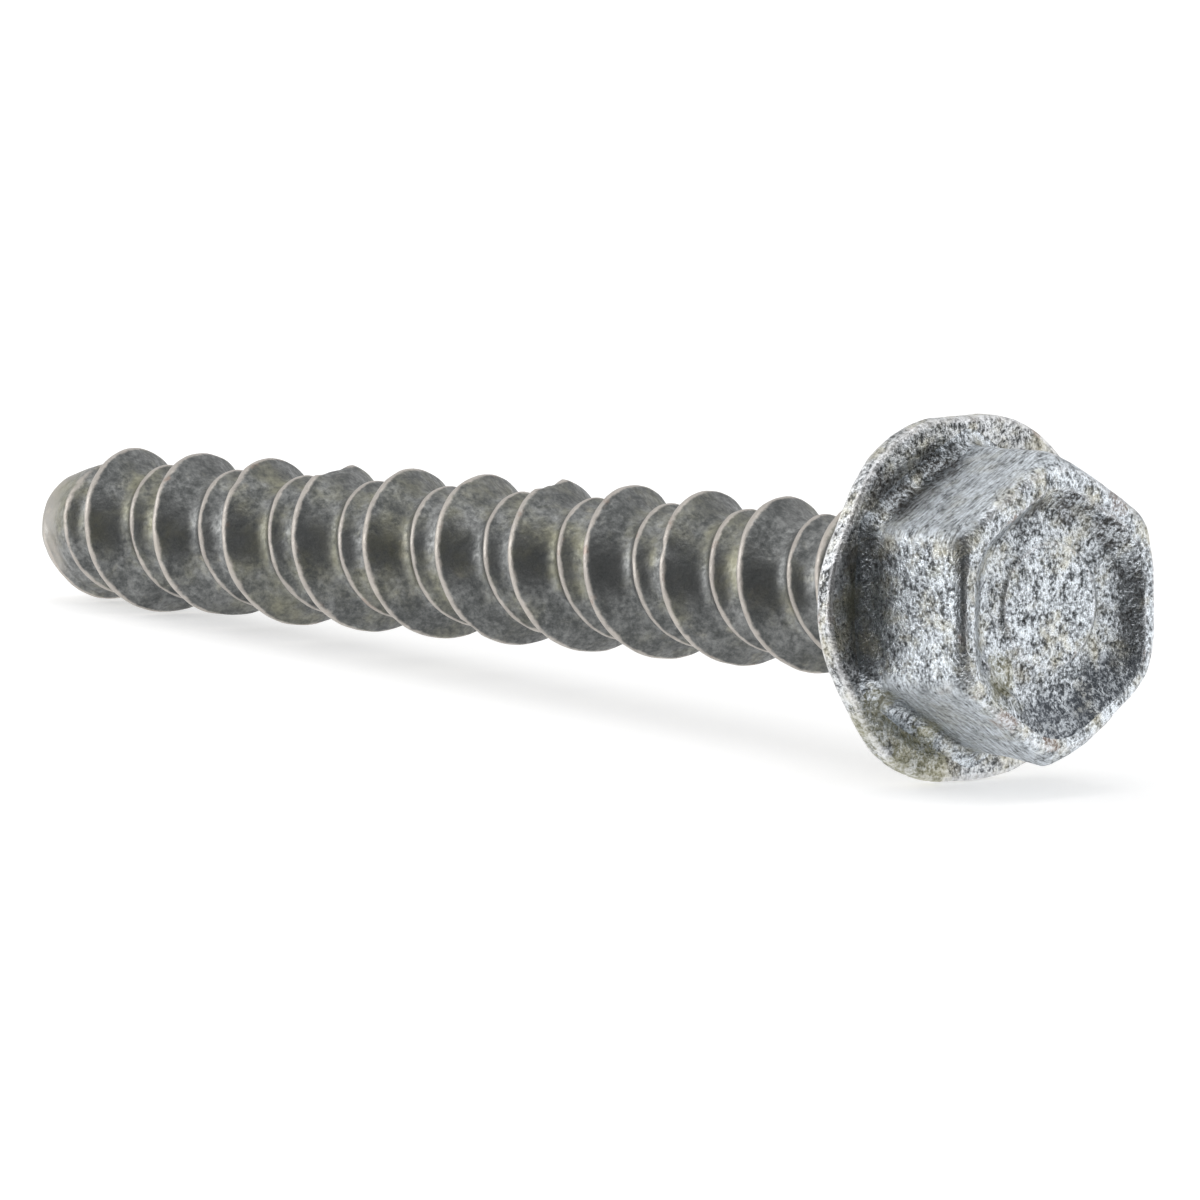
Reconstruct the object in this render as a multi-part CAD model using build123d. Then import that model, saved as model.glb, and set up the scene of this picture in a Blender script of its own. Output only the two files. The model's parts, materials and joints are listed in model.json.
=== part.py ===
"""Hex washer head screw with a coarse twin high-low thread and a blunt tip.

The screw is one cold-formed piece of steel. It is drawn standing on its own
axis first, with the bearing face under the flange at z = 0, the head above it
and the thread below it. At the end it is laid down the way it comes to rest:
on the edge of its flange and on one thread crest close to the tip.
"""
from build123d import *
from math import asin, atan2, cos, floor, hypot, pi, radians, sin
import os

# ---------------------------------------------------------------- head, mm
hex_across_flats = 14.3
hex_corner_round = 1.1        # vertical edges of the forged hexagon
head_height = 8.1             # bearing face to the rim of the hexagon
crown_land = 6.8              # radius where the flat rim turns into the crown
crown_drop = 1.5              # how far the crown runs down at the hex corners
crown_angle = 42.0            # slope of the crown against the rim

# --------------------------------------------------------------- flange, mm
flange_across_flats = 19.3    # the flange is a well rounded hexagon itself
flange_corner_radius = 7.4
flange_rim_height = 1.15      # bearing face to the top of the rim
flange_rim_land = 0.5         # level part of the rim, next to its rounded edge
flange_dip = 0.2              # the dished top is this much below the rim
flange_dip_width = 1.1
foot_height = 1.75            # where the dished top meets the hexagon's flats
foot_round = 0.7              # hollow round between the dish and the hexagon
rim_round = 0.35
bearing_round = 0.25          # lower edge of the flange

# ------------------------------------------------ indent in the head top, mm
indent_across_flats = 12.1
indent_corner_round = 3.3
indent_depth = 0.95
indent_floor_across = 9.9
indent_floor_round = 4.4
indent_offset = 0.45          # the punch went in a little low of the axis
boss_diameter = 6.8           # low round boss left in the middle of the indent
boss_height = 0.16

# --------------------------------------------------------------- thread, mm
length = 74.1                 # under the head, bearing face to the tip
pitch = 6.2                   # one turn of each of the two ridges
core_diameter = 6.7
high_diameter = 9.44          # crests of the tall ridge
low_diameter = 7.8            # crests of the low ridge, half a turn away
high_crest_width = 0.4
low_crest_width = 0.3
high_head_flank = 1.7         # axial run of each flank, crest edge to root:
high_tip_flank = 0.75         # long towards the head, short towards the tip
low_head_flank = 0.85
low_tip_flank = 0.45
thread_start = 56.6           # degrees from the top, tall crest at the flange

# ------------------------------------------------------------------ tip, mm
tip_diameter = 6.0
tip_taper_length = 4.4        # from the blunt end to the full crest diameter

# worked out from the sizes above
hex_corner_radius = hex_across_flats / 2 / cos(pi / 6)
sink = flange_rim_height / 2  # how far the thread's body reaches into the head


def rounded_hexagon(across_flats, corner_radius, turn=0.0):
    """A hexagon with filleted corners; at turn 0 a corner points along +x."""
    outline = RegularPolygon(across_flats / 2, 6, major_radius=False)
    outline = fillet(outline.vertices(), corner_radius)
    return Rot(0, 0, turn) * outline


def make_flange():
    """Rounded hexagon plate, dished on top so that it climbs to the hexagon."""
    reach = flange_across_flats / 2
    rim_inner = reach - rim_round - flange_rim_land
    dip = rim_inner - flange_dip_width
    dip_z = flange_rim_height - flange_dip
    foot_radius = hex_across_flats / 2 - hex_corner_round / 2
    section = make_face(
        Polyline(
            (foot_radius, foot_height), (0, foot_height), (0, 0),
            (2 * reach, 0), (2 * reach, flange_rim_height), (rim_inner, flange_rim_height),
        )
        + Spline(
            (rim_inner, flange_rim_height), (dip, dip_z), (foot_radius, foot_height),
            tangents=[(-1, 0), (-1, 1)],
        )
    )
    dished = revolve(Plane.XZ * section, Axis.Z)
    plate = extrude(rounded_hexagon(flange_across_flats, flange_corner_radius, 30), flange_rim_height)
    plate = fillet(plate.edges().group_by(Axis.Z)[-1], rim_round)
    plate = fillet(plate.edges().group_by(Axis.Z)[0], bearing_round)
    core = Pos(0, 0, foot_height / 2) * Cylinder(rim_inner, foot_height)
    return dished & (plate + core)


def make_hexagon():
    """The driving hexagon, turned down to a crown at the top."""
    prism = extrude(rounded_hexagon(hex_across_flats, hex_corner_round), head_height)
    slope = radians(crown_angle)
    far_radius = crown_land + crown_drop / sin(slope) * cos(slope)
    crown = revolve(
        Plane.XZ
        * make_face(
            Polyline(
                (0, 0), (2 * far_radius, 0), (2 * far_radius, head_height - crown_drop),
                (far_radius, head_height - crown_drop), (crown_land, head_height), (0, head_height),
                close=True,
            )
        ),
        Axis.Z,
    )
    return prism & crown


def make_indent():
    """The punched hollow: a rounded hexagon at the rim, nearly round below."""
    rim = Pos(-indent_offset, 0, head_height) * rounded_hexagon(indent_across_flats, indent_corner_round)
    floor_z = head_height - indent_depth
    base = Pos(0, 0, floor_z) * rounded_hexagon(indent_floor_across, indent_floor_round)
    hollow = loft([base, rim], ruled=True)
    boss = Pos(0, 0, floor_z + boss_height / 2) * Cylinder(boss_diameter / 2, boss_height)
    return hollow - boss


def thread_section():
    """One cut square across the thread, with the tall crest along +x.

    Both ridges have the same pitch, so this one closed outline, turned once
    per pitch, sweeps out the whole thread. An angle in it stands for a run
    along the axis: a full turn is one pitch, and going round from the crest
    is going down towards the tip.
    """
    core = core_diameter / 2
    high = high_diameter / 2
    low = low_diameter / 2
    half = pitch / 2
    corners = [
        (high_crest_width / 2, high),
        (high_crest_width / 2 + high_tip_flank, core),
        (half - low_crest_width / 2 - low_head_flank, core),
        (half - low_crest_width / 2, low),
        (half + low_crest_width / 2, low),
        (half + low_crest_width / 2 + low_tip_flank, core),
        (pitch - high_crest_width / 2 - high_head_flank, core),
        (pitch - high_crest_width / 2, high),
        (pitch + high_crest_width / 2, high),
    ]

    def at(run, radius):
        angle = 2 * pi * run / pitch
        return Vector(radius * cos(angle), radius * sin(angle))

    edges = []
    for (run_a, radius_a), (run_b, radius_b) in zip(corners, corners[1:]):
        middle = at((run_a + run_b) / 2, (radius_a + radius_b) / 2)
        edges.append(Edge.make_three_point_arc(at(run_a, radius_a), middle, at(run_b, radius_b)))
    return Face(Wire(edges))


def make_thread():
    """The threaded shank, from inside the flange down to the blunt tip."""
    lower_end = -length
    start_turn = thread_start + 360 * lower_end / pitch
    height = length + sink
    section = Pos(0, 0, lower_end) * Rot(0, 0, start_turn) * thread_section()
    ridges = Solid.extrude_linear_with_rotation(
        section, (0, 0, lower_end), (0, 0, height), 360 * height / pitch
    )
    outer = high_diameter
    tip = tip_diameter / 2
    taper_top = lower_end + tip_taper_length
    envelope = make_face(
        Polyline(
            (0, lower_end), (tip, lower_end), (high_diameter / 2, taper_top),
            (outer, taper_top), (outer, 2 * sink), (0, 2 * sink), close=True,
        )
    )
    envelope = revolve(Plane.XZ * envelope, Axis.Z)
    return ridges & envelope


def make_screw():
    """The whole screw as one solid, standing on its axis, thread down."""
    head = make_flange() + make_hexagon()
    foot_edges = [
        edge for edge in head.edges()
        if 0 < edge.center().Z < foot_height and hypot(edge.center().X, edge.center().Y) < hex_corner_radius
    ]
    head = fillet(foot_edges, foot_round)
    return head - make_indent() + make_thread()


def lay_down(screw):
    """Tip the screw over until it rests on its flange and one thread crest.

    The axis runs along +x towards the head, with the corner of the hexagon
    that was at +x pointing up, so the flange lies on one of its flat sides.
    """
    drop_side = 180 - thread_start
    full_crests = floor((length - tip_taper_length) / pitch + drop_side / 360)
    crest = (full_crests - drop_side / 360) * pitch + high_crest_width / 2
    rim = flange_across_flats / 2 - bearing_round
    # the floor touches the rounded lower edge of the flange and the crest
    run = crest + bearing_round
    fall = rim - high_diameter / 2
    tilt = atan2(fall, run) + asin(bearing_round / hypot(run, fall))
    upright = Plane(origin=(0, 0, 0), x_dir=(-sin(tilt), 0, cos(tilt)), z_dir=(cos(tilt), 0, sin(tilt)))
    laid = screw.moved(Location(upright))
    box = laid.bounding_box()
    return laid.moved(Location((-box.center().X, -box.center().Y, -box.min.Z)))


os.makedirs("parts", exist_ok=True)
lag_screw = lay_down(make_screw())
lag_screw.label = "lag_screw"
export_step(lag_screw, "parts/lag_screw.step")
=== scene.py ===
"""The looks of a galvanised hex washer head screw with a twin high-low thread.

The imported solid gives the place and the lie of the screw. Here the same form is
drawn again as one fine mesh with the soft edges of a hot-dip coated forging, its
knocked thread crests and its lumpy coat, and is dressed in four zinc finishes.
"""

import json
from math import atan2, cos, pi, radians, sin

import bpy
import numpy as np
from mathutils import Matrix, Vector, noise


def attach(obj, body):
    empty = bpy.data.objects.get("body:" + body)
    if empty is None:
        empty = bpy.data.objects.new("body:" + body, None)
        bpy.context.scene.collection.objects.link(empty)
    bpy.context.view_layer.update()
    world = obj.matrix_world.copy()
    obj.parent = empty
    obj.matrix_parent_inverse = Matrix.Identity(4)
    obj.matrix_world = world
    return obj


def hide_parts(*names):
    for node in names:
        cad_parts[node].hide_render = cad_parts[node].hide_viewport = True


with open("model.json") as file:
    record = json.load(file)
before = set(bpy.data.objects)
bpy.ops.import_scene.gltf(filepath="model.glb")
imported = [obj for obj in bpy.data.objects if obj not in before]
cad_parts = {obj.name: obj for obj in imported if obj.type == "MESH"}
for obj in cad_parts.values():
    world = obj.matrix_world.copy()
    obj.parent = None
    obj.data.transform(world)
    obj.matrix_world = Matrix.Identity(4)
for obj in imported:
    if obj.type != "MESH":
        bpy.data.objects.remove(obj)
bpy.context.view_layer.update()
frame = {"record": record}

MM = 0.001

# ------------------------------------------------ the screw's own sizes, in mm
HEX_FLATS = 14.3
HEX_EDGE_ROUND = 1.1
HEAD_HEIGHT = 8.1
RIM_FLATS = 13.4
RIM_CORNER = 4.6
CROWN_SLOPE = 1.25           # drop for each mm that the crown is wide
THINNEST_CROWN = 0.22
FULL_CORNER = 0.4            # how much wider the rim stands at its fullest corner
FULL_CORNER_AT = 196.0
FULL_CORNER_REACH = 30.0
SKEW = 0.4                   # how far the die pushed the hexagon's low corner out
SKEW_AT = 183.0
SKEW_REACH = 26.0
FLANGE_FLATS = 19.3
FLANGE_CORNER = 7.4
RIM_HEIGHT = 1.15
RIM_LAND = 0.5
RIM_ROUND = 0.35
DIP = 0.2
DIP_WIDTH = 1.1
FOOT_HEIGHT = 1.75
FOOT_SOFT = 1.05
BEARING_ROUND = 0.25
INDENT_FLATS = 12.1
INDENT_CORNER = 3.3
INDENT_DEPTH = 0.95
INDENT_FLOOR_FLATS = 9.9
INDENT_FLOOR_CORNER = 4.4
INDENT_OFFSET = 0.45
INDENT_LIP = 0.2
BOSS_RADIUS = 3.4
BOSS_HEIGHT = 0.16
BOSS_EDGE = 0.2
LENGTH = 74.1
PITCH = 6.2
CORE_RADIUS = 3.35
HIGH_RADIUS = 4.72
LOW_RADIUS = 3.9
HIGH_CREST = 0.4
LOW_CREST = 0.3
HIGH_HEAD_FLANK = 1.7
HIGH_TIP_FLANK = 0.75
LOW_HEAD_FLANK = 0.85
LOW_TIP_FLANK = 0.45
THREAD_START = 56.6
TIP_RADIUS = 3.0
TIP_ROUND = 0.45
TIP_CONE_SLOPE = 0.27        # plain cone that the rolling dies left at the end
LOW_RUN_IN = 2.6             # the low crest starts this far from the end
RUN_IN_LENGTH = 1.6
TIP_BLEND = 0.25
HIGH_RUN_IN_SLOPE = 0.52     # how steeply the tall crest grows out of the end

BURR_RADIUS = 5.5
BURR_WIDTH = 0.14
BURR_HEIGHT = 0.34
BURR_ANGLE = 134.0
BURR_REACH = 20.0

KNOCK_SPREAD = 0.8           # how far a knock reaches along the screw

# Knocks on the tall crest: turns below the flange, degrees from the top,
# half their length in degrees, and how deep they go in mm.
KNOCKS = [
    (5, 8, 12, 0.26),
    (5, 0, 5, 0.06),
    (8, 7, 17, 0.38),
    (10, 184, 26, 0.18),
    (3, 66, 5, 0.12),
    (6, 140, 7, 0.1),
    (9, 40, 6, 0.1),
]

# The coat's unevenness: size of the lumps and how deep they go, in mm.
COAT_LUMPS = [(2.6, 0.08), (0.9, 0.045)]

# ------------------------------------------------------------- mesh fineness
SHANK_COLUMNS = 96
HEAD_COLUMNS = 3 * SHANK_COLUMNS
SHANK_STEP = 0.12
CREST_SOFTNESS = 0.1
ROOT_SOFTNESS = 0.3


def screw_axis():
    """Where the screw lies: middle of the bearing face, and its own x, y, z."""
    mounts = {m["name"]: m for m in frame["record"]["mounts"]}
    along = Vector(mounts["hex_drive"]["axis"]).normalized()
    middle = Vector(mounts["bearing_face"]["pos_m"])
    middle.y = mounts["hex_drive"]["pos_m"][1]
    side = Vector((0, -1, 0))
    up = side.cross(along)
    return middle, up, side, along


# ------------------------------------------------------------ plan outlines
def rounded_hexagon_radius(angle, across_flats, corner_radius, first_corner=0.0):
    """Distance from the middle to a filleted hexagon, in the direction angle."""
    apothem = across_flats / 2
    off_corner = (np.degrees(angle) - first_corner + 30) % 60 - 30
    beta = np.radians(off_corner)
    flat = apothem / np.cos(pi / 6 - np.abs(beta))
    centre = (apothem - corner_radius) / cos(pi / 6)
    inside = np.maximum(corner_radius**2 - (centre * np.sin(beta)) ** 2, 0)
    arc = centre * np.cos(beta) + np.sqrt(inside)
    tangent = atan2(corner_radius * sin(pi / 6), centre + corner_radius * cos(pi / 6))
    return np.where(np.abs(beta) < tangent, arc, flat)


# -------------------------------------------------------------- thread form
def smooth_step(value):
    value = np.clip(value, 0, 1)
    return value * value * (3 - 2 * value)


def thread_profile():
    """Radius along one pitch, from one tall crest towards the head, softened."""
    half = PITCH / 2
    runs = [
        0, HIGH_CREST / 2, HIGH_CREST / 2 + HIGH_HEAD_FLANK,
        half - LOW_CREST / 2 - LOW_TIP_FLANK, half - LOW_CREST / 2,
        half + LOW_CREST / 2, half + LOW_CREST / 2 + LOW_HEAD_FLANK,
        PITCH - HIGH_CREST / 2 - HIGH_TIP_FLANK, PITCH - HIGH_CREST / 2, PITCH,
    ]
    radii = [
        HIGH_RADIUS, HIGH_RADIUS, CORE_RADIUS, CORE_RADIUS, LOW_RADIUS,
        LOW_RADIUS, CORE_RADIUS, CORE_RADIUS, HIGH_RADIUS, HIGH_RADIUS,
    ]
    count = 620
    run = np.arange(count) * PITCH / count
    sharp = np.interp(run, runs, radii)

    def softened(reach):
        away = np.minimum(run, PITCH - run)
        kernel = np.exp(-0.5 * (away / reach) ** 2)
        return np.real(np.fft.ifft(np.fft.fft(sharp) * np.fft.fft(kernel / kernel.sum())))

    crest = smooth_step((sharp - CORE_RADIUS) / (LOW_RADIUS - CORE_RADIUS))
    return run, softened(ROOT_SOFTNESS) * (1 - crest) + softened(CREST_SOFTNESS) * crest


def knock_depth(z, angle):
    """How far the tall crest is beaten down at height z and angle."""
    depth = np.zeros_like(angle)
    for turn, degrees_down, half, deep in KNOCKS:
        place = radians(degrees_down)
        crest_z = PITCH * (degrees_down - THREAD_START) / 360 - turn * PITCH
        off = (angle - place + pi) % (2 * pi) - pi
        fade = smooth_step(1.6 - 1.2 * np.abs(off) / radians(half))
        beyond = (z - crest_z - PITCH * off / (2 * pi)) / KNOCK_SPREAD
        depth = depth + deep * fade * np.exp(-(beyond**2))
    return depth


def shank_radius(z, angle):
    """Radius of the threaded shank at height z (0 at the flange) and angle."""
    run, soft = thread_profile()
    start = radians(THREAD_START)
    along = (z - PITCH * (angle - start) / (2 * pi)) % PITCH
    radius = np.interp(along, run, soft, period=PITCH)
    high = smooth_step((radius - LOW_RADIUS) / (HIGH_RADIUS - LOW_RADIUS))
    radius = radius - high * knock_depth(z, angle)
    above_tip = z + LENGTH
    cone = TIP_RADIUS + TIP_CONE_SLOPE * above_tip
    near_high = (0.5 + 0.5 * np.cos(2 * pi * along / PITCH)) ** 3
    run_in = smooth_step((above_tip - LOW_RUN_IN * (1 - near_high)) / RUN_IN_LENGTH)
    radius = cone + (radius - cone) * run_in
    envelope = TIP_RADIUS + HIGH_RUN_IN_SLOPE * above_tip
    corner = np.clip(1 - above_tip / TIP_ROUND, 0, 1)
    envelope = envelope - TIP_ROUND * (1 - np.sqrt(1 - corner**2))
    mix = np.clip(0.5 + 0.5 * (envelope - radius) / TIP_BLEND, 0, 1)
    return envelope + (radius - envelope) * mix - TIP_BLEND * mix * (1 - mix)


# ---------------------------------------------------------------- head form
def dish_height(radius):
    """Top of the flange: level rim, a shallow dip, then a climb to the hexagon."""
    rim_inner = FLANGE_FLATS / 2 - RIM_ROUND - RIM_LAND
    foot = HEX_FLATS / 2 - HEX_EDGE_ROUND / 2
    low = rim_inner - DIP_WIDTH
    climb = low - foot
    slope_at_dip = (3 * (RIM_HEIGHT - FOOT_HEIGHT) / climb + 1) / 4

    def hermite(start, end, height_a, height_b, slope_a, slope_b):
        step = end - start
        t = np.clip((radius - start) / step, 0, 1)
        return (
            height_a * (1 + 2 * t) * (1 - t) ** 2 + slope_a * step * t * (1 - t) ** 2
            + height_b * t * t * (3 - 2 * t) + slope_b * step * t * t * (t - 1)
        )

    inner = hermite(foot, low, FOOT_HEIGHT, RIM_HEIGHT - DIP, -1, slope_at_dip)
    outer = hermite(low, rim_inner, RIM_HEIGHT - DIP, RIM_HEIGHT, slope_at_dip, 0)
    return np.where(radius < low, inner, outer)


def bent(start, corner, end, count):
    """Points along a soft bend from start over corner to end, ends included."""
    rows = []
    for k in range(count + 1):
        t = k / count
        at_start, at_corner, at_end = (1 - t) ** 2, 2 * t * (1 - t), t * t
        places = zip(start, corner, end)
        rows.append(tuple(at_start * a + at_corner * b + at_end * c for a, b, c in places))
    return rows


def straight(start, end, count):
    """Points between start and end, both left out."""
    steps = count + 1
    return [tuple(a + (b - a) * k / steps for a, b in zip(start, end)) for k in range(1, steps)]


def head_rings(angle):
    """Rings of (x, y, z) from the shank's root to the middle of the indent."""
    ones = np.ones_like(angle)
    outline = rounded_hexagon_radius(angle, FLANGE_FLATS, FLANGE_CORNER, 30)
    wall = rounded_hexagon_radius(angle, HEX_FLATS, HEX_EDGE_ROUND)
    root = shank_radius(0 * angle, angle)
    edge = BEARING_ROUND
    rim_top = RIM_HEIGHT * ones
    rings = []
    rings += straight((root, 0 * ones), (outline - edge, 0 * ones), 9)
    rings += bent((outline - edge, 0 * ones), (outline, 0 * ones), (outline, edge * ones), 4)
    rim_side = (outline, rim_top - RIM_ROUND)
    rings += straight((outline, edge * ones), rim_side, 3)
    rings += bent(rim_side, (outline, rim_top), (outline - RIM_ROUND, rim_top), 5)
    foot_start = wall + FOOT_SOFT
    inner = outline - RIM_ROUND
    for k in range(1, 15):
        radius = inner + (foot_start - inner) * k / 14
        rings.append((radius, dish_height(radius)))
    slope = (dish_height(foot_start + 0.05) - dish_height(foot_start)) / 0.05
    foot_z = dish_height(foot_start) - slope * FOOT_SOFT
    wall_foot = (wall, foot_z + FOOT_SOFT)
    rings += bent((foot_start, dish_height(foot_start)), (wall, foot_z), wall_foot, 10)[1:]
    rim_edge = rounded_hexagon_radius(angle, RIM_FLATS, RIM_CORNER)
    off_full = np.abs(angle - radians(FULL_CORNER_AT)) / radians(FULL_CORNER_REACH)
    fuller = FULL_CORNER * smooth_step(1.6 - off_full)
    off_skew = np.abs(angle - radians(SKEW_AT)) / radians(SKEW_REACH)
    wall_up = wall + SKEW * smooth_step(1.5 - off_skew)
    rim_edge = np.minimum(rim_edge + fuller, wall_up - THINNEST_CROWN)
    rim_z = HEAD_HEIGHT - 0.2 * fuller
    width = wall_up - rim_edge
    wall_top = (wall_up, rim_z - CROWN_SLOPE * width)
    shoulder = (wall_up - 0.25 * width, rim_z - 0.2 * width)
    rings += straight(wall_foot, wall_top, 16)
    rings += bent(wall_top, shoulder, (rim_edge, rim_z), 9)

    rings_xyz = [(r * np.cos(angle), r * np.sin(angle), z + 0 * r) for r, z in rings]

    opening = rounded_hexagon_radius(angle, INDENT_FLATS, INDENT_CORNER)
    floor = rounded_hexagon_radius(angle, INDENT_FLOOR_FLATS, INDENT_FLOOR_CORNER)
    floor_z = HEAD_HEIGHT - INDENT_DEPTH

    def shifted(radius, z, offset):
        return (radius * np.cos(angle) - offset, radius * np.sin(angle), z + 0 * radius)

    start = rings_xyz[-1]
    rim = shifted(opening + INDENT_LIP, rim_z, INDENT_OFFSET)
    rings_xyz += straight(start, rim, 6) + [rim]
    corner = shifted(opening, rim_z, INDENT_OFFSET)
    base = shifted(floor, floor_z, 0)
    below = tuple(c + (b - c) * 0.25 for c, b in zip(corner, base))
    rings_xyz += bent(rim, corner, below, 5)[1:]
    near_base = tuple(c + (b - c) * 0.65 for c, b in zip(corner, base))
    rings_xyz += straight(below, near_base, 10)
    inner = shifted(floor - 0.5, floor_z, 0)
    rings_xyz += bent(near_base, base, inner, 6)
    outer_boss = shifted((BOSS_RADIUS + BOSS_EDGE) * ones, floor_z, 0)
    rings_xyz += straight(inner, outer_boss, 4)
    for k in range(7):
        t = k / 6
        radius = (BOSS_RADIUS + BOSS_EDGE - 2 * BOSS_EDGE * t) * ones
        rings_xyz.append(shifted(radius, floor_z + BOSS_HEIGHT * (0.5 - 0.5 * cos(pi * t)), 0))
    for k in range(1, 14):
        radius = (BOSS_RADIUS - BOSS_EDGE) * (1 - k / 14) * ones
        rings_xyz.append(shifted(radius, floor_z + BOSS_HEIGHT, 0))
    return rings_xyz, (0.0, 0.0, floor_z + BOSS_HEIGHT)


# ------------------------------------------------------------ building it up
def stitch(inner_first, inner_count, outer_first, outer_count):
    """Faces between two rings, where the outer has a multiple of the inner's points."""
    share = outer_count // inner_count
    faces = []
    for j in range(inner_count):
        here, there = inner_first + j, inner_first + (j + 1) % inner_count
        fan = [outer_first + (share * j + k) % outer_count for k in range(share + 1)]
        if share == 1:
            faces.append((here, there, fan[1], fan[0]))
            continue
        half = (share + 1) // 2
        faces += [(here, fan[k + 1], fan[k]) for k in range(half)]
        faces.append((here, there, fan[half]))
        faces += [(there, fan[k + 1], fan[k]) for k in range(half, share)]
    return faces


def screw_form():
    """Points of the whole screw in its own axes, its faces, and each face's finish."""
    turn = np.arange(SHANK_COLUMNS) * 2 * pi / SHANK_COLUMNS
    rows = int(LENGTH / SHANK_STEP)
    rings = []
    for k in range(1, 6):
        radius = (TIP_RADIUS - TIP_ROUND) * k / 5
        rings.append((radius * np.cos(turn), radius * np.sin(turn), -LENGTH + 0 * turn))
    for k in range(1, rows + 1):
        z = -LENGTH * (1 - k / rows)
        radius = shank_radius(z + 0 * turn, turn)
        rings.append((radius * np.cos(turn), radius * np.sin(turn), z + 0 * turn))
    shank_rings = len(rings)
    turn = np.arange(HEAD_COLUMNS) * 2 * pi / HEAD_COLUMNS
    head, centre = head_rings(turn)
    rings += head
    points = [np.array([(0, 0, -LENGTH)])] + [np.stack(ring, 1) for ring in rings]
    points.append(np.array([centre]))
    first = np.cumsum([0] + [len(p) for p in points])
    faces = [(0, 1 + (j + 1) % SHANK_COLUMNS, 1 + j) for j in range(SHANK_COLUMNS)]
    finish = ["thread"] * len(faces)
    for i in range(1, len(rings)):
        new = stitch(first[i], len(points[i]), first[i + 1], len(points[i + 1]))
        faces += new
        finish += [ring_finish(rings[i], i - shank_rings)] * len(new)
    low, top = first[-3], first[-2]
    faces += [(low + j, low + (j + 1) % HEAD_COLUMNS, top) for j in range(HEAD_COLUMNS)]
    finish += ["indent"] * HEAD_COLUMNS
    return np.concatenate(points), [tuple(int(v) for v in face) for face in faces], finish


def ring_finish(ring, head_ring):
    """Which zinc finish the band of faces above a ring has."""
    if head_ring < 0:
        return "thread"
    radius = float(np.mean(np.hypot(ring[0], ring[1])))
    height = float(np.mean(ring[2]))
    if radius > HEX_FLATS / 2 + FOOT_SOFT or height < 0.1:
        return "flange"
    if height > HEAD_HEIGHT - INDENT_DEPTH - 1 and radius < RIM_FLATS / 2 - 0.5:
        return "indent"
    return "hexagon"


def raise_burr(form):
    """The thin burr that the punch left on the indent's wall."""
    radius = np.hypot(form[:, 0], form[:, 1])
    angle = np.degrees(np.arctan2(form[:, 1], form[:, 0]))
    across = np.exp(-(((radius - BURR_RADIUS) / BURR_WIDTH) ** 2))
    length = smooth_step((BURR_REACH - np.abs(angle - BURR_ANGLE)) / 8)
    inside = form[:, 2] > HEAD_HEIGHT - INDENT_DEPTH - 0.2
    raised = form[:, 2] + BURR_HEIGHT * across * length * inside
    form[:, 2] = np.maximum(form[:, 2], np.minimum(raised, HEAD_HEIGHT - 0.15))


def coat_lumps(points, normals, ways):
    """How much lower the coat stands at each point, for the given (size, depth)s."""
    depth = np.zeros(len(points))
    for size, deep in ways:
        values = np.array([noise.noise(Vector(p / size)) for p in points])
        depth += deep * (0.5 - 0.5 * np.clip(values * 1.4, -1, 1))
    return points - normals * depth[:, None]


def bend_of_surface(mesh, rounds):
    """How convex (+) or hollow (-) the surface is at each point, per mm, evened out."""
    count = len(mesh.vertices)
    points = np.empty(count * 3)
    normals = np.empty(count * 3)
    ends = np.empty(len(mesh.edges) * 2, dtype=np.int64)
    mesh.vertices.foreach_get("co", points)
    mesh.vertex_normals.foreach_get("vector", normals)
    mesh.edges.foreach_get("vertices", ends)
    points, normals, ends = points.reshape(-1, 3) / MM, normals.reshape(-1, 3), ends.reshape(-1, 2)
    step = points[ends[:, 1]] - points[ends[:, 0]]
    square = np.maximum((step**2).sum(1), 1e-6)
    shared = np.bincount(ends.ravel(), minlength=count)
    bend = np.zeros(count)
    np.add.at(bend, ends[:, 0], -2 * (step * normals[ends[:, 0]]).sum(1) / square)
    np.add.at(bend, ends[:, 1], 2 * (step * normals[ends[:, 1]]).sum(1) / square)
    bend = np.clip(bend / shared, -4, 8)
    for _ in range(rounds):
        total = np.zeros(count)
        np.add.at(total, ends[:, 0], bend[ends[:, 1]])
        np.add.at(total, ends[:, 1], bend[ends[:, 0]])
        bend = 0.5 * bend + 0.5 * total / shared
    return bend


def note_on_mesh(mesh, name, values):
    layer = mesh.attributes.new(name, "FLOAT", "POINT")
    layer.data.foreach_set("value", np.clip(values, 0, 1).astype(np.float32))


def flank_share(form):
    """1 on the flanks of the thread, 0 on its crests and roots and on the head; the finishes paint
    shade on the flanks by it.
    """
    rise = (np.hypot(form[:, 0], form[:, 1]) - CORE_RADIUS) / (HIGH_RADIUS - CORE_RADIUS)
    flank = smooth_step((rise - 0.02) / 0.14) * smooth_step((1.0 - rise) / 0.12)
    past_tip = smooth_step((form[:, 2] + LENGTH - 1.5) / 5)
    return flank * past_tip * (form[:, 2] < -0.05)


def trimmed_flats(form):
    """1 on the flats that the die left streaked, 0 elsewhere on the screw."""
    off_rough_flat = np.abs(np.degrees(np.arctan2(form[:, 1], form[:, 0])) - 90)
    beside = smooth_step((off_rough_flat - 24) / 8)
    height = form[:, 2]
    below_rim = smooth_step((HEAD_HEIGHT - 0.1 - height) / 0.6)
    on_wall = smooth_step((height - 1.6) / 0.8) * below_rim
    outside = smooth_step((np.hypot(form[:, 0], form[:, 1]) - 6.3) / 0.5)
    return beside * on_wall * outside


FINISHES = ["hexagon", "flange", "indent", "thread"]


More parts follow.
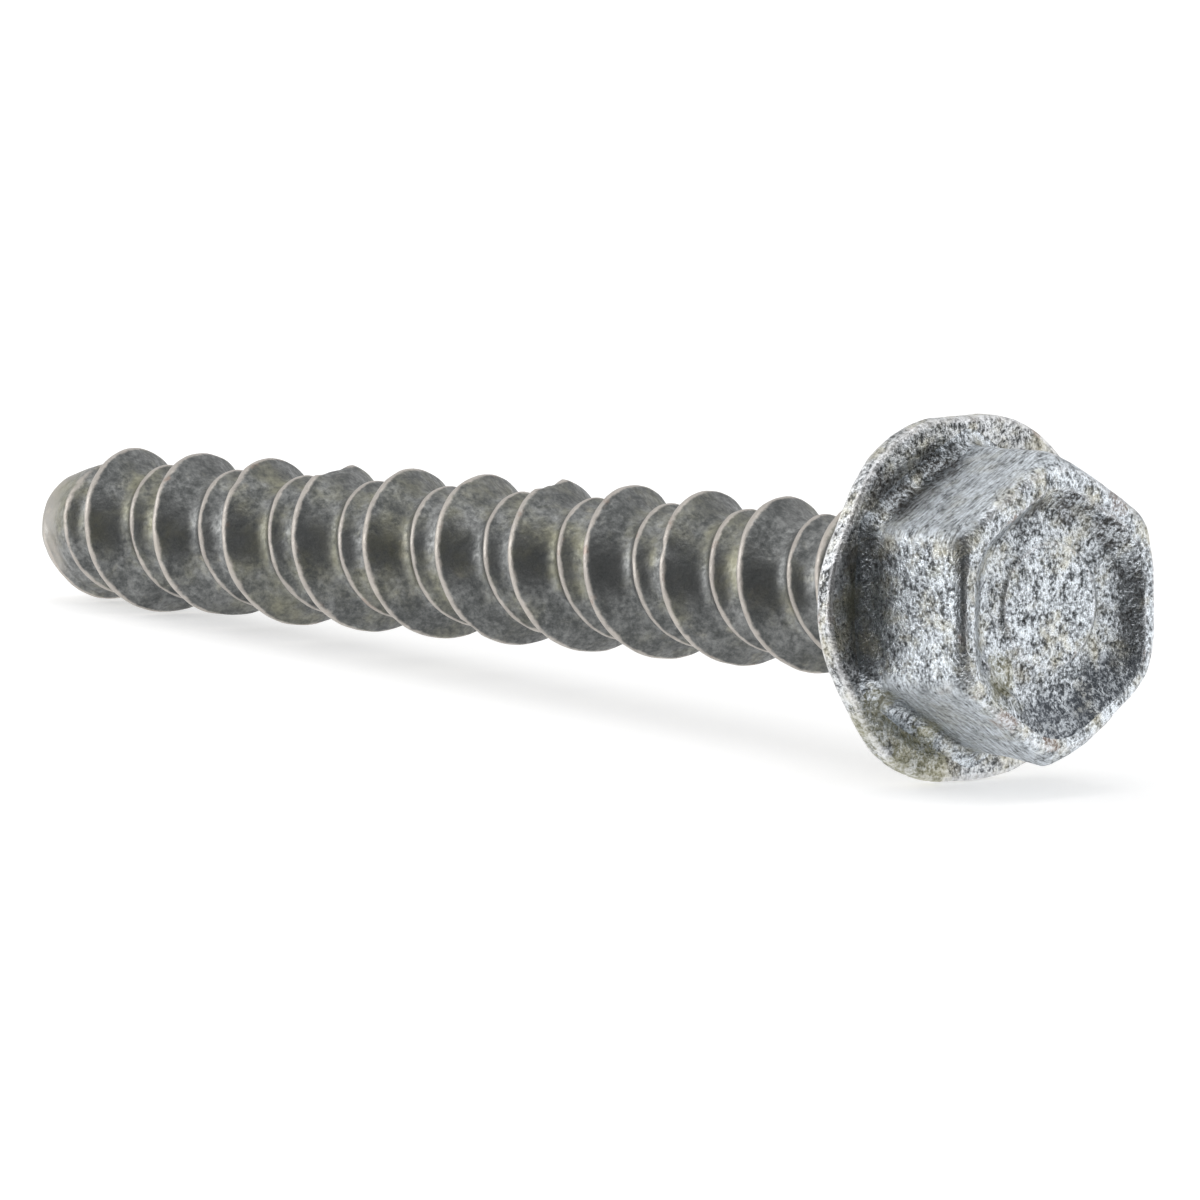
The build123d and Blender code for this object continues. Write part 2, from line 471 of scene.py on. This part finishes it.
def screw_mesh():
    """One closed mesh of the whole screw, laid where the solid lies."""
    middle, up, side, along = screw_axis()
    form, faces, finish = screw_form()
    raise_burr(form)
    mesh = bpy.data.meshes.new("screw_body")
    mesh.from_pydata(form.tolist(), [], faces)
    mesh.validate()
    mesh.update()
    normals = np.empty(len(form) * 3)
    mesh.vertex_normals.foreach_get("vector", normals)
    form = coat_lumps(form, normals.reshape(-1, 3), COAT_LUMPS)
    laid = np.array(middle) + (form @ np.array([up, side, along])) * MM
    mesh.vertices.foreach_set("co", laid.ravel())
    mesh.update()
    mesh.polygons.foreach_set("use_smooth", [True] * len(mesh.polygons))
    mesh.polygons.foreach_set("material_index", [FINISHES.index(name) for name in finish])
    note_on_mesh(mesh, "edge", bend_of_surface(mesh, 3) / 1.6)
    # Hollowness: the finishes paint shade and dirt into creases and recesses by it.
    note_on_mesh(mesh, "hollow", -bend_of_surface(mesh, 40) / 0.45)
    # Flanks of the thread: the finishes paint shade on them by this mask.
    note_on_mesh(mesh, "flank", flank_share(form))
    note_on_mesh(mesh, "trimmed", trimmed_flats(form))
    return mesh


def build_screw():
    piece = bpy.data.objects.new("screw_body", screw_mesh())
    bpy.context.scene.collection.objects.link(piece)
    return piece


# ------------------------------------------------------------ shader wiring
class Wiring:
    """Short ways to place and join the nodes of one tree."""

    def __init__(self, tree):
        self.tree = tree

    def node(self, kind, **settings):
        made = self.tree.nodes.new(kind)
        for name, value in settings.items():
            setattr(made, name, value)
        return made

    def feed(self, socket, value):
        if isinstance(value, bpy.types.NodeSocket):
            self.tree.links.new(value, socket)
        else:
            socket.default_value = value

    def sum(self, operation, first, second=0.0, clamp=False):
        made = self.node("ShaderNodeMath", operation=operation, use_clamp=clamp)
        self.feed(made.inputs[0], first)
        self.feed(made.inputs[1], second)
        return made.outputs[0]

    def weighted(self, first, first_share, second, second_share):
        """The two values added, each times its share."""
        first = self.sum("MULTIPLY", first, first_share)
        return self.sum("ADD", first, self.sum("MULTIPLY", second, second_share))

    def span(self, value, low, high, to_low=0.0, to_high=1.0):
        made = self.node("ShaderNodeMapRange", interpolation_type="SMOOTHSTEP")
        names = ("Value", "From Min", "From Max", "To Min", "To Max")
        for name, given in zip(names, (value, low, high, to_low, to_high)):
            self.feed(made.inputs[name], given)
        return made.outputs["Result"]

    def blend(self, share, first, second):
        made = self.node("ShaderNodeMix", data_type="RGBA")
        self.feed(made.inputs[0], share)
        self.feed(made.inputs[6], first)
        self.feed(made.inputs[7], second)
        return made.outputs[2]

    def between(self, share, first, second):
        made = self.node("ShaderNodeMix", data_type="FLOAT")
        self.feed(made.inputs[0], share)
        self.feed(made.inputs[2], first)
        self.feed(made.inputs[3], second)
        return made.outputs[0]

    def cloud(self, place, scale, detail=2.0, roughness=0.55):
        made = self.node("ShaderNodeTexNoise")
        names = ("Vector", "Scale", "Detail", "Roughness")
        for name, given in zip(names, (place, scale, detail, roughness)):
            self.feed(made.inputs[name], given)
        return made.outputs["Fac"]

    def stretched(self, place, scale):
        made = self.node("ShaderNodeMapping")
        self.feed(made.inputs["Vector"], place)
        made.inputs["Scale"].default_value = scale
        return made.outputs["Vector"]

    def noted(self, name):
        return self.node("ShaderNodeAttribute", attribute_name=name).outputs["Fac"]

    def use(self, group, **given):
        made = self.node("ShaderNodeGroup", node_tree=group)
        for name, value in given.items():
            self.feed(made.inputs[name.replace("_", " ")], value)
        return made.outputs


def new_group(name, inputs, outputs):
    """An empty node group with named sockets, and its wiring, inputs and outputs."""
    group = bpy.data.node_groups.new(name, "ShaderNodeTree")
    for label, kind, value in inputs:
        socket = group.interface.new_socket(label, in_out="INPUT", socket_type=kind)
        if value is not None:
            socket.default_value = value
    for label, kind in outputs:
        group.interface.new_socket(label, in_out="OUTPUT", socket_type=kind)
    wiring = Wiring(group)
    taken = wiring.node("NodeGroupInput").outputs
    given = wiring.node("NodeGroupOutput").inputs
    return group, wiring, taken, given


VALUE, PLACE = "NodeSocketFloat", "NodeSocketVector"


def zinc_grain_group():
    """Crystal grain of the coat: light and dark grains, small pits, and their height."""
    group, w, taken, given = new_group(
        "zinc_grain",
        [
            ("Place", PLACE, None),
            ("Grains", VALUE, 3000.0),
            ("Contrast", VALUE, 1.0),
            ("Pitting", VALUE, 0.5),
        ],
        [("Tone", VALUE), ("Pits", VALUE), ("Height", VALUE)],
    )
    coarse = w.cloud(taken["Place"], taken["Grains"], 3.0, 0.65)
    wide = w.cloud(taken["Place"], w.sum("MULTIPLY", taken["Grains"], 0.31), 2.0)
    fine = w.cloud(taken["Place"], w.sum("MULTIPLY", taken["Grains"], 2.3), 2.0, 0.7)
    tone = w.weighted(coarse, 0.5, fine, 0.25)
    tone = w.sum("ADD", tone, w.sum("MULTIPLY", wide, 0.25))
    reach = w.sum("DIVIDE", 0.16, taken["Contrast"])
    low, high = w.sum("SUBTRACT", 0.5, reach), w.sum("ADD", 0.5, reach)
    w.feed(given["Tone"], w.span(tone, low, high))
    hole = w.weighted(coarse, 0.65, wide, 0.35)
    depth = w.span(hole, 0.36, 0.43, 1.0, 0.0)
    w.feed(given["Pits"], w.sum("MULTIPLY", depth, taken["Pitting"], True))
    bumps = w.weighted(coarse, 1.0, wide, 0.8)
    sunk = w.sum("MULTIPLY", depth, w.sum("MULTIPLY", taken["Pitting"], 0.4))
    w.feed(given["Height"], w.sum("SUBTRACT", bumps, sunk))
    return group


def tarnish_group():
    """Soft patches where the coat has weathered, as a mask."""
    group, w, taken, given = new_group(
        "tarnish",
        [
            ("Place", PLACE, None),
            ("Patches", VALUE, 300.0),
            ("Cover", VALUE, 0.5),
            ("Ragged", VALUE, 0.12),
        ],
        [("Mask", VALUE)],
    )
    patch = w.cloud(taken["Place"], taken["Patches"], 5.0, 0.62)
    level = w.span(taken["Cover"], 0.0, 1.0, 0.7, 0.3)
    low, high = (w.sum(way, level, taken["Ragged"]) for way in ("SUBTRACT", "ADD"))
    w.feed(given["Mask"], w.span(patch, low, high))
    return group


def stain_and_shade_group():
    """One ragged mark round a given centre, as a mask: a stain, a pit, or a spot of painted shade.
    """
    group, w, taken, given = new_group(
        "stain_and_shade",
        [
            ("Place", PLACE, None),
            ("Centre", PLACE, None),
            ("Size", VALUE, 0.002),
            ("Ragged", VALUE, 0.8),
        ],
        [("Mask", VALUE)],
    )
    away = w.node("ShaderNodeVectorMath", operation="DISTANCE")
    w.feed(away.inputs[0], taken["Place"])
    w.feed(away.inputs[1], taken["Centre"])
    reach = w.sum("DIVIDE", away.outputs["Value"], taken["Size"])
    broken = w.cloud(taken["Place"], w.sum("DIVIDE", 1.6, taken["Size"]), 5.0, 0.7)
    twice = w.sum("MULTIPLY", taken["Ragged"], 2.0)
    sway = w.sum("MULTIPLY", w.sum("SUBTRACT", broken, 0.5), twice)
    reach = w.sum("ADD", reach, sway)
    w.feed(given["Mask"], w.span(reach, 0.75, 1.05, 1.0, 0.0))
    return group


def edge_wear_and_highlight_group():
    """Broken line of bare, worn zinc along edges and crests, which also paints a highlight there,
    as a mask.
    """
    group, w, taken, given = new_group(
        "edge_wear_and_highlight",
        [
            ("Place", PLACE, None),
            ("Edge", VALUE, 0.0),
            ("Breaks", VALUE, 900.0),
            ("Amount", VALUE, 1.0),
        ],
        [("Mask", VALUE)],
    )
    broken = w.cloud(taken["Place"], taken["Breaks"], 4.0, 0.65)
    reach = w.sum("ADD", taken["Edge"], w.sum("MULTIPLY", w.sum("SUBTRACT", broken, 0.5), 1.1))
    w.feed(given["Mask"], w.sum("MULTIPLY", w.span(reach, 0.35, 0.75), taken["Amount"], True))
    return group


def trim_marks_group():
    """Fine streaks that run round the hexagon, left by the forging die."""
    group, w, taken, given = new_group(
        "trim_marks", [("Place", PLACE, None), ("Contrast", VALUE, 1.0)], [("Tone", VALUE)]
    )
    streaks = w.cloud(w.stretched(taken["Place"], (6500.0, 1100.0, 1100.0)), 1.0, 3.0, 0.6)
    scores = w.cloud(w.stretched(taken["Place"], (11000.0, 1500.0, 1500.0)), 1.0, 2.0, 0.6)
    tone = w.weighted(streaks, 0.6, scores, 0.4)
    centred = w.sum("MULTIPLY", w.sum("SUBTRACT", tone, 0.5), taken["Contrast"])
    w.feed(given["Tone"], w.sum("ADD", 0.5, centred))
    return group


# ---------------------------------------------------------------- materials
COAT_RELIEF = 0.00009        # height of the grain's bump, in metres
RUB_AND_HIGHLIGHT_BREAKS = 900.0

# Smoke colour of the tarnish patches, also the colour of the painted shade in hollows and on the
# thread flanks.
SMOKE_AND_SHADE = (0.075, 0.08, 0.08, 1)
OLIVE = (0.3, 0.29, 0.19, 1)
YELLOWED = (0.58, 0.54, 0.4, 1)
SCUFF_BROWN = (0.3, 0.22, 0.18, 1)
# Bare zinc on worn edges, also the colour of a painted highlight along them.
BARE_ZINC_AND_HIGHLIGHT = (0.72, 0.72, 0.73, 1)
# Worn thread crests, also the colour of the painted highlight along the crests.
CREST_WEAR_AND_HIGHLIGHT = (0.52, 0.48, 0.44, 1)

# Finish of each zone: colours of dark and pale grains and of bare zinc with a painted
# highlight on edges and crests, size of the grains and how far they stand apart, pits, how
# much each kind of patch covers, how much painted shade and dirt the hollows take, and the sheen.
ZINC = {
    "hexagon": dict(
        dark=(0.14, 0.15, 0.16, 1), pale=(0.74, 0.79, 0.84, 1), bare_and_highlight=BARE_ZINC_AND_HIGHLIGHT,
        grains=4700.0, contrast=1.7, pits=0.75, streaks=0.9,
        smoke=0.3, olive=0.1, yellow=0.36, hollow=0.25,
        rub_and_highlight=0.3, bump=0.8, roughness=0.3,
    ),
    "flange": dict(
        dark=(0.12, 0.125, 0.13, 1), pale=(0.74, 0.76, 0.78, 1), bare_and_highlight=BARE_ZINC_AND_HIGHLIGHT,
        grains=4400.0, contrast=1.7, pits=0.8, streaks=0.0,
        smoke=0.4, olive=0.3, yellow=0.45, hollow=0.12,
        rub_and_highlight=0.45, bump=1.0, roughness=0.34,
    ),
    "indent": dict(
        dark=(0.13, 0.14, 0.15, 1), pale=(0.76, 0.81, 0.86, 1), bare_and_highlight=BARE_ZINC_AND_HIGHLIGHT,
        grains=4600.0, contrast=1.8, pits=0.9, streaks=0.0,
        smoke=0.25, olive=0.1, yellow=0.32, hollow=0.4,
        rub_and_highlight=0.3, bump=0.9, roughness=0.32,
    ),
    "thread": dict(
        dark=(0.11, 0.115, 0.115, 1), pale=(0.32, 0.325, 0.32, 1), bare_and_highlight=CREST_WEAR_AND_HIGHLIGHT,
        grains=2600.0, contrast=0.7, pits=0.3, streaks=0.0,
        smoke=0.55, olive=0.4, yellow=0.15, hollow=0.1,
        rub_and_highlight=0.8, bump=0.35, roughness=0.42,
    ),
}


# Stains, pits and painted shade of each zone: colour, place in the screw's own axes, size,
# how ragged, and how strong. The dark marks on the indent's walls and at the hexagon's
# foot are painted shade.
# Dark soot colour, also used for painted shade in the indent and at the hexagon's foot.
SOOT_AND_SHADE = (0.07, 0.065, 0.06, 1)
# Bluish dark colour of the painted shade on the indent's walls.
INDENT_WALL_SHADE = (0.085, 0.095, 0.11, 1)
PIT = (0.01, 0.01, 0.01, 1)
TIP_BEIGE = (0.46, 0.43, 0.39, 1)
STAINS_AND_SHADE = {
    "flange": [
        # Painted shade: dark patches in the crease at the hexagon's foot, on the upper side.
        (SOOT_AND_SHADE, (7.2, 2.6, 1.6), 1.3, 0.9, 0.6),
        (SOOT_AND_SHADE, (5.6, 5.4, 1.6), 1.7, 0.9, 0.6),
        (SOOT_AND_SHADE, (2.2, 7.7, 1.4), 1.4, 0.9, 0.35),
        (OLIVE, (-8.2, 3.6, 1.3), 2.4, 0.9, 0.6),
        (OLIVE, (-6.0, 6.6, 1.2), 1.8, 0.9, 0.45),
        (SOOT_AND_SHADE, (-8.4, 1.0, 1.1), 0.8, 0.9, 0.5),
    ],
    "hexagon": [
        # Painted shade: dark patches in the crease at the hexagon's foot, on the upper side.
        (SOOT_AND_SHADE, (7.3, 2.6, 1.8), 1.3, 1.0, 0.65),
        (SOOT_AND_SHADE, (5.9, 5.2, 1.8), 1.7, 1.0, 0.65),
        (SOOT_AND_SHADE, (2.4, 7.6, 1.7), 1.3, 1.0, 0.3),
        (OLIVE, (-7.5, 3.5, 1.5), 1.3, 1.0, 0.5),
        (OLIVE, (-5.3, 6.6, 1.5), 1.1, 1.0, 0.4),
        (SOOT_AND_SHADE, (-6.2, 5.0, 7.6), 0.5, 0.6, 0.5),
        (SCUFF_BROWN, (-6.0, 4.0, 7.9), 0.9, 1.2, 0.5),
        (SCUFF_BROWN, (-6.9, 0.6, 8.0), 0.7, 1.2, 0.5),
        (SCUFF_BROWN, (5.2, -4.4, 8.0), 0.8, 1.2, 0.3),
        (PIT, (6.75, 1.6, 7.0), 0.26, 0.6, 0.9),
        (SOOT_AND_SHADE, (4.0, 6.7, 7.9), 0.45, 0.8, 0.6),
    ],
    "thread": [
        (TIP_BEIGE, (0, 0, -74.5), 4.6, 0.4, 0.75),
        (PIT, (1.6, 4.0, -9.6), 0.3, 0.9, 0.6),
        (PIT, (-0.9, 4.2, -10.4), 0.25, 0.9, 0.5),
    ],
    "indent": [
        (PIT, (-0.6, -1.7, 7.3), 0.17, 0.3, 0.9),
        (PIT, (-0.8, 1.9, 7.3), 0.2, 0.8, 0.6),
        (PIT, (-2.4, 1.0, 7.3), 0.2, 0.8, 0.6),
        (SOOT_AND_SHADE, (-3.6, 1.9, 7.2), 0.8, 0.9, 0.45),
        (OLIVE, (-3.4, 3.6, 7.3), 1.2, 0.9, 0.45),
        # Painted shade: these darken the indent's walls.
        (SOOT_AND_SHADE, (5.4, -1.6, 7.6), 1.5, 0.8, 0.6),
        (SOOT_AND_SHADE, (5.9, 1.2, 7.6), 1.3, 0.8, 0.5),
        (SOOT_AND_SHADE, (3.9, -4.3, 7.6), 1.3, 0.8, 0.55),
        (SOOT_AND_SHADE, (1.2, -5.7, 7.6), 1.3, 0.7, 0.35),
        (SOOT_AND_SHADE, (-1.6, -5.7, 7.6), 1.3, 0.7, 0.35),
        (INDENT_WALL_SHADE, (-3.6, -5.0, 7.6), 1.7, 0.8, 0.65),
        (INDENT_WALL_SHADE, (-5.3, -2.8, 7.6), 2.0, 0.8, 0.75),
        (INDENT_WALL_SHADE, (-6.0, -0.6, 7.5), 2.0, 0.8, 0.75),
        (INDENT_WALL_SHADE, (-6.1, 1.2, 7.5), 1.5, 0.8, 0.65),
    ],
}


def zinc_finish(name, groups, look):
    """One zone's coat, made from the shared groups with its own values."""
    material = bpy.data.materials.new("zinc_" + name)
    material.use_nodes = True
    w = Wiring(material.node_tree)
    shader = material.node_tree.nodes["Principled BSDF"]
    middle, up, side, along = screw_axis()
    place = w.node("ShaderNodeTexCoord").outputs["Object"]
    grain = w.use(
        groups["grain"],
        Place=place, Grains=look["grains"], Contrast=look["contrast"], Pitting=look["pits"],
    )
    streaks = w.use(groups["trim"], Place=place, Contrast=look["streaks"])["Tone"]
    trimmed = w.noted("trimmed")
    grains = w.between(w.sum("MULTIPLY", trimmed, 0.6), grain["Tone"], 0.62)
    shift = w.sum("MULTIPLY", w.sum("SUBTRACT", streaks, 0.5), w.sum("MULTIPLY", trimmed, 3.4))
    tone = w.sum("ADD", grains, shift, True)
    colour = w.blend(tone, look["dark"], look["pale"])

    def patches(kind, size, cover, ragged=0.12):
        shifted = w.node("ShaderNodeVectorMath", operation="ADD")
        w.feed(shifted.inputs[0], place)
        shifted.inputs[1].default_value = kind
        patch = w.use(
            groups["tarnish"], Place=shifted.outputs[0], Patches=size, Cover=cover, Ragged=ragged
        )
        return patch["Mask"]

    yellow = patches((0.3, 0, 0), 560.0, look["yellow"])
    yellow = w.sum("MULTIPLY", yellow, w.between(trimmed, 0.55, 0.2))
    colour = w.blend(yellow, colour, YELLOWED)
    olive = w.sum("MULTIPLY", patches((0, 0.3, 0), 260.0, look["olive"]), 0.7)
    colour = w.blend(olive, colour, OLIVE)
    # Painted shade: hollows and the thread flanks are darkened towards the smoke colour, together
    # with dirt in the hollows and the smoky tarnish patches.
    hollow = w.noted("hollow")
    shade_and_dirt = w.sum("MULTIPLY", hollow, w.between(trimmed, look["hollow"], 0.08))
    flank = w.sum("MULTIPLY", w.noted("flank"), 0.5)
    shade_and_dirt = w.sum("ADD", shade_and_dirt, flank)
    smoke_and_shade = w.sum("MULTIPLY", patches((0, 0, 0.3), 520.0, look["smoke"]), 0.45)
    smoke_and_shade = w.sum("ADD", smoke_and_shade, shade_and_dirt)
    smoke_and_shade = w.sum("MULTIPLY", smoke_and_shade, w.span(tone, 0.0, 1.0, 1.0, 0.55), True)
    colour = w.blend(smoke_and_shade, colour, SMOKE_AND_SHADE)
    colour = w.blend(grain["Pits"], colour, SMOKE_AND_SHADE)
    edge = w.noted("edge")
    # Painted highlight and wear: convex edges and crests turn to the paler bare colour.
    wear_and_highlight = w.use(
        groups["edge"], Place=place, Edge=edge, Breaks=RUB_AND_HIGHLIGHT_BREAKS, Amount=look["rub_and_highlight"]
    )
    colour = w.blend(wear_and_highlight["Mask"], colour, look["bare_and_highlight"])
    brown = w.sum("MULTIPLY", patches((0.6, 0, 0), 700.0, 0.22, 0.05), 0.6)
    colour = w.blend(w.sum("MULTIPLY", brown, w.span(edge, 0.1, 0.6)), colour, SCUFF_BROWN)
    # Stains, pits and spots of painted shade, each laid over the colour.
    for stain_and_shade_colour, (x, y, z), size, ragged, strength in STAINS_AND_SHADE.get(name, []):
        centre = middle + (up * x + side * y + along * z) * MM
        stain_and_shade = w.use(
            groups["stain_and_shade"], Place=place, Centre=centre, Size=size * MM, Ragged=ragged
        )
        between_grains = w.span(tone, 0.0, 1.0, 1.2 * strength, 0.5 * strength)
        colour = w.blend(w.sum("MULTIPLY", stain_and_shade["Mask"], between_grains), colour, stain_and_shade_colour)
    w.feed(shader.inputs["Base Color"], colour)
    metal = w.span(smoke_and_shade, 0.0, 1.0, 0.95, 0.5)
    metal = w.sum("SUBTRACT", metal, w.sum("MULTIPLY", trimmed, 0.35), True)
    w.feed(shader.inputs["Metallic"], metal)
    roughest, smoothest = look["roughness"] + 0.16, look["roughness"] - 0.06
    rough = w.span(tone, 0.0, 1.0, roughest, smoothest)
    w.feed(shader.inputs["Roughness"], w.sum("ADD", rough, w.sum("MULTIPLY", trimmed, 0.22), True))
    scored = w.sum("MULTIPLY", streaks, w.sum("MULTIPLY", trimmed, 1.5))
    height = w.sum("ADD", grain["Height"], scored)
    bump = w.node("ShaderNodeBump")
    bump.inputs["Strength"].default_value = look["bump"]
    bump.inputs["Distance"].default_value = COAT_RELIEF
    w.feed(bump.inputs["Height"], height)
    w.feed(shader.inputs["Normal"], bump.outputs["Normal"])
    return material


def dress_screw(piece):
    """The four zinc finishes, in the order of the mesh's finishes."""
    groups = {
        "grain": zinc_grain_group(),
        "tarnish": tarnish_group(),
        "edge": edge_wear_and_highlight_group(),
        "stain_and_shade": stain_and_shade_group(),
        "trim": trim_marks_group(),
    }
    for name in FINISHES:
        piece.data.materials.append(zinc_finish(name, groups, ZINC[name]))


# ------------------------------------------------------- floor, light, camera
SEEN_FLOOR_GLOW = 0.5
MIRRORED_FLOOR_GLOW = 0.8


def pale_floor():
    """A white sweep that keeps the shadow under the screw."""
    half = 3.0
    mesh = bpy.data.meshes.new("floor")
    corners = [(-half, -half, 0), (half, -half, 0), (half, half, 0), (-half, half, 0)]
    mesh.from_pydata(corners, [], [(0, 1, 2, 3)])
    floor = bpy.data.objects.new("floor", mesh)
    bpy.context.scene.collection.objects.link(floor)
    material = bpy.data.materials.new("floor_white")
    material.use_nodes = True
    nodes = material.node_tree.nodes
    links = material.node_tree.links
    nodes.clear()
    out = nodes.new("ShaderNodeOutputMaterial")
    matt = nodes.new("ShaderNodeBsdfDiffuse")
    matt.inputs["Color"].default_value = (0.8, 0.8, 0.8, 1)
    glow = nodes.new("ShaderNodeEmission")
    glow.inputs["Color"].default_value = (1, 1, 1, 1)
    seen = nodes.new("ShaderNodeLightPath")
    lift = nodes.new("ShaderNodeMath")
    lift.operation = "MULTIPLY_ADD"
    lift.inputs[1].default_value = MIRRORED_FLOOR_GLOW
    links.new(seen.outputs["Is Glossy Ray"], lift.inputs[0])
    shown = nodes.new("ShaderNodeMath")
    shown.operation = "MULTIPLY"
    shown.inputs[1].default_value = SEEN_FLOOR_GLOW
    links.new(seen.outputs["Is Camera Ray"], shown.inputs[0])
    links.new(shown.outputs[0], lift.inputs[2])
    links.new(lift.outputs[0], glow.inputs["Strength"])
    add = nodes.new("ShaderNodeAddShader")
    links.new(matt.outputs[0], add.inputs[0])
    links.new(glow.outputs[0], add.inputs[1])
    links.new(add.outputs[0], out.inputs["Surface"])
    mesh.materials.append(material)


def white_room():
    """World: white where it is seen or mirrored, a plain level as light."""
    world = bpy.data.worlds.new("white_room")
    bpy.context.scene.world = world
    world.use_nodes = True
    nodes = world.node_tree.nodes
    links = world.node_tree.links
    back = nodes["Background"]
    back.inputs["Color"].default_value = (1, 1, 1, 1)
    seen = nodes.new("ShaderNodeLightPath")
    first = nodes.new("ShaderNodeMath")
    first.operation = "MAXIMUM"
    links.new(seen.outputs["Is Camera Ray"], first.inputs[0])
    links.new(seen.outputs["Is Glossy Ray"], first.inputs[1])
    level = nodes.new("ShaderNodeMapRange")
    level.inputs["To Min"].default_value = 0.55
    level.inputs["To Max"].default_value = 1.0
    links.new(first.outputs[0], level.inputs["Value"])
    links.new(level.outputs["Result"], back.inputs["Strength"])


def aim(thing, place, target):
    thing.location = place
    thing.rotation_euler = (Vector(target) - Vector(place)).to_track_quat("-Z", "Y").to_euler()


def softbox(name, place, target, size, power):
    lamp = bpy.data.lights.new(name, "AREA")
    lamp.shape = "SQUARE"
    lamp.size = size
    lamp.energy = power
    thing = bpy.data.objects.new(name, lamp)
    bpy.context.scene.collection.objects.link(thing)
    aim(thing, place, target)


VIEW_AZIMUTH = 48.518
VIEW_ELEVATION = 8.038
VIEW_ROLL = 2.285
VIEW_DISTANCE = 0.54465
VIEW_LENS = 310.587
VIEW_TARGET = (0.020512, -0.014054, 0.008734)


def view_axes():
    """Right, up and back of the camera, before its roll."""
    a, e = radians(VIEW_AZIMUTH), radians(VIEW_ELEVATION)
    back = Vector((sin(a) * cos(e), -cos(a) * cos(e), sin(e)))
    right = Vector((cos(a), sin(a), 0))
    return right, back.cross(right), back


def add_camera():
    right, up, back = view_axes()
    turn = Matrix.Rotation(radians(VIEW_ROLL), 3, back)
    right, up = turn @ right, turn @ up
    lens = bpy.data.cameras.new("camera")
    lens.lens = VIEW_LENS
    lens.sensor_width = 36
    lens.clip_start = 0.01
    camera = bpy.data.objects.new("camera", lens)
    bpy.context.scene.collection.objects.link(camera)
    spot = Vector(VIEW_TARGET) + back * VIEW_DISTANCE
    basis = Matrix((right, up, back)).transposed().to_4x4()
    camera.matrix_world = Matrix.Translation(spot) @ basis
    bpy.context.scene.camera = camera


def dark_card(name, corners, material):
    """A black flag that only the metal mirrors: no view shows it."""
    mesh = bpy.data.meshes.new(name)
    mesh.from_pydata([tuple(c) for c in corners], [], [(0, 1, 2, 3)])
    mesh.materials.append(material)
    card = bpy.data.objects.new(name, mesh)
    bpy.context.scene.collection.objects.link(card)
    card.visible_camera = False
    card.visible_shadow = False
    card.visible_diffuse = False


def dark_cards():
    """One flag stands round the camera and one lies on the floor before the screw."""
    material = bpy.data.materials.new("card_black")
    material.use_nodes = True
    shader = material.node_tree.nodes["Principled BSDF"]
    shader.inputs["Base Color"].default_value = (0.02, 0.02, 0.02, 1)
    shader.inputs["Roughness"].default_value = 0.9
    right, up, back = view_axes()
    centre = Vector(VIEW_TARGET) + back * 0.9
    half = 1.1
    signs = ((-1, -1), (1, -1), (1, 1), (-1, 1))
    standing = [centre + right * half * a + up * half * b for a, b in signs]
    dark_card("card_round_camera", standing, material)
    ahead = Vector((back.x, back.y, 0)).normalized()
    middle = Vector((VIEW_TARGET[0], VIEW_TARGET[1], 0.0004))
    reaches = ((-0.25, 0.02), (0.25, 0.02), (0.9, 0.9), (-0.9, 0.9))
    lying = [middle + right * a + ahead * b for a, b in reaches]
    dark_card("card_on_floor", lying, material)


def light_it():
    middle = Vector(VIEW_TARGET)
    right, up, back = view_axes()
    softbox("softbox_left", middle - right * 0.9 + up * 0.35, middle, 0.7, 3.0)
    softbox("softbox_right", middle + right * 0.9 + up * 0.3, middle, 0.5, 0.8)
    softbox("softbox_top", middle + Vector((0, 0, 0.9)), middle, 0.7, 1.5)


scene = bpy.context.scene
scene.view_settings.view_transform = "Standard"
add_camera()
white_room()
pale_floor()
dark_cards()
light_it()

screw = build_screw()
dress_screw(screw)
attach(screw, "root")
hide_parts("lag_screw")
